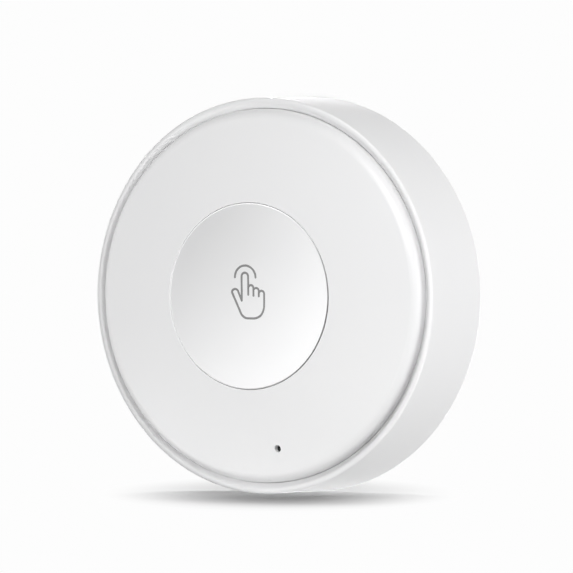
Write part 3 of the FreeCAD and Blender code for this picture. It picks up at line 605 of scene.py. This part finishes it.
# A lamp's level is how bright a white card facing it looks, where 1 is white. Azimuth runs from the
# front towards +X, and elevation up from the floor, in degrees; distance and size are metres.
# Most levels were fitted to how bright each piece is in the photograph. The ones named Behind and
# Rear light the back, which it doesn't show.
softCard = {"distance": 1.0, "size": 0.6}
lamps = {
    "shellFront": dict(softCard, lights="shell", azimuth=0.0, elevation=4.0, level=0.246),
    "shellRight": dict(softCard, lights="shell", azimuth=60.0, elevation=4.0, level=0.658),
    "shellHigh": dict(softCard, lights="shell", azimuth=60.0, elevation=32.0, level=0.177),
    "shellSide": dict(softCard, lights="shell", azimuth=90.0, elevation=4.0, level=0.047),
    "shellFar": dict(softCard, lights="shell", azimuth=150.0, elevation=4.0, level=0.063),
    "shellLeft": dict(softCard, lights="shell", azimuth=-90.0, elevation=4.0, level=0.22),
    "shellTop": dict(softCard, lights="shell", azimuth=0.0, elevation=88.0, level=0.4, size=0.8),
    "shellLowFront": dict(softCard, lights="shell", azimuth=0.0, elevation=-28.0, level=0.263),
    "shellLowRight": dict(softCard, lights="shell", azimuth=120.0, elevation=-28.0, level=0.292),
    "shellBehind": dict(softCard, lights="shell", azimuth=-148.0, elevation=0.0, level=0.3),
    "shellRear": dict(softCard, lights="shell", azimuth=-170.0, elevation=-5.0, level=0.32),
    "plateLeft": dict(softCard, lights="plate", azimuth=-90.0, elevation=4.0, level=0.088),
    "plateHigh": dict(softCard, lights="plate", azimuth=30.0, elevation=32.0, level=0.821),
    "plateRight": dict(softCard, lights="plate", azimuth=90.0, elevation=4.0, level=0.431),
    "plateLowLeft": dict(softCard, lights="plate", azimuth=-60.0, elevation=-28.0, level=0.315),
    "plateLowFront": dict(softCard, lights="plate", azimuth=0.0, elevation=-28.0, level=0.282),
    "plateLowRight": dict(softCard, lights="plate", azimuth=120.0, elevation=-28.0, level=0.508),
    "plateBehind": dict(softCard, lights="plate", azimuth=-145.0, elevation=0.0, level=0.75),
    "dishLowLeft": dict(softCard, lights="button", azimuth=-60.0, elevation=-28.0, level=0.577, size=0.5),
    "dishLeft": dict(softCard, lights="button", azimuth=-60.0, elevation=4.0, level=0.114, size=0.5),
    "dishMiddle": dict(softCard, lights="button", azimuth=-30.0, elevation=32.0, level=0.228, size=0.5),
    "dishTop": dict(softCard, lights="button", azimuth=-30.0, elevation=62.0, level=1.376, size=0.5),
    "floorBack": {"lights": "floor", "azimuth": -148.0, "elevation": 45.0, "distance": 3.0, "size": 0.84,
                  "level": 0.74},
    "floorFront": {"lights": "floor", "azimuth": 32.0, "elevation": 45.0, "distance": 3.0, "size": 1.2,
                   "level": 0.04},
}


def direction(azimuth, elevation):
    # a step of length 1 that way: (sin a cos e, -cos a cos e, sin e)
    a, e = math.radians(azimuth), math.radians(elevation)
    return np.array([math.sin(a) * math.cos(e), -math.cos(a) * math.cos(e), math.sin(e)])


def aim(thing, place, towards):
    # lamps and the camera look along their own -Z
    thing.location = place.tolist()
    thing.rotation_mode = "QUATERNION"
    thing.rotation_quaternion = Vector((towards - place).tolist()).to_track_quat("-Z", "Y")
    bpy.context.scene.collection.objects.link(thing)


def litGroups():
    # The photograph's dish, plate, shell and floor are lit from different sides, so each has its own
    # lamps. The inner parts and the rear cover take the plate's. All that isn't floor casts shadows.
    floor = bpy.data.objects["floor"]
    part = [thing for thing in bpy.context.scene.objects if thing.type == "MESH" and thing != floor]
    groups = {"button": [nodes["button_cap"], icon], "floor": [floor], "all": part,
              "shell": [nodes["outer_shell"], bpy.data.objects["case_mark"]]}
    groups["plate"] = [thing for thing in part if thing not in groups["button"] + groups["shell"]]
    made = {}
    for name, things in groups.items():
        made[name] = bpy.data.collections.new("lit_" + name)
        for thing in things:
            made[name].objects.link(thing)
    return made


def makeLamp(name, lamp, groups):
    # A disc of power P lights a facing white card d away to P / (pi d)^2, so P = level (pi d)^2.
    middle = np.array([0.0, cadBox[0].y / 2, 0.0])
    data = bpy.data.lights.new(name, "AREA")
    data.shape = "DISK"
    data.size = lamp["size"]
    data.energy = lamp["level"] * (math.pi * lamp["distance"]) ** 2
    # sampled from the lamps alone, or lamps that light only one group lose part of their light
    data.cycles.use_multiple_importance_sampling = False
    thing = bpy.data.objects.new(name, data)
    aim(thing, middle + direction(lamp["azimuth"], lamp["elevation"]) * lamp["distance"], middle)
    thing.light_linking.receiver_collection = groups[lamp["lights"]]
    if lamp["lights"] != "floor":
        # a card that lights the case from below isn't hidden by the floor
        thing.light_linking.blocker_collection = groups["all"]


def makeLamps():
    groups = litGroups()
    for name, lamp in lamps.items():
        makeLamp(name, lamp, groups)


# The camera sees the crown, which is the middle of the case's frontmost plane, at a pixel of the
# 573 x 573 picture. The pixel's size and the sensor are millimetres; distance and clip are metres.
cameraPlan = {"azimuth": 32.0, "elevation": 1.2, "distance": 2.8, "clip": (0.05, 20.0), "pixelSize": 0.1261,
              "picture": 573, "centrePixel": (248.8, 296.2), "sensor": 36.0}


def makeCamera():
    # The target is the crown moved by the pixels that part it from the picture's middle, and
    # the lens is the sensor's width times the distance over the width seen.
    plan = cameraPlan
    back = direction(plan["azimuth"], plan["elevation"])
    right = direction(plan["azimuth"] + 90.0, 0.0)
    up = np.cross(back, right)
    crown = np.array([0.0, cadBox[0].y, 0.0])
    half = plan["picture"] / 2
    across = (half - plan["centrePixel"][0]) * plan["pixelSize"] * mm
    rise = (plan["centrePixel"][1] - half) * plan["pixelSize"] * mm
    target = crown + right * across + up * rise
    data = bpy.data.cameras.new("camera")
    data.sensor_width = plan["sensor"]
    width = plan["picture"] * plan["pixelSize"] * mm
    data.lens = plan["sensor"] * plan["distance"] / width
    data.clip_start, data.clip_end = plan["clip"]
    camera = bpy.data.objects.new("camera", data)
    aim(camera, target + back * plan["distance"], target)
    bpy.context.scene.camera = camera


makeFloor()
makeWorld()
makeLamps()
makeCamera()
bpy.context.scene.view_settings.view_transform = "Standard"
print("stage, lamps and camera set")
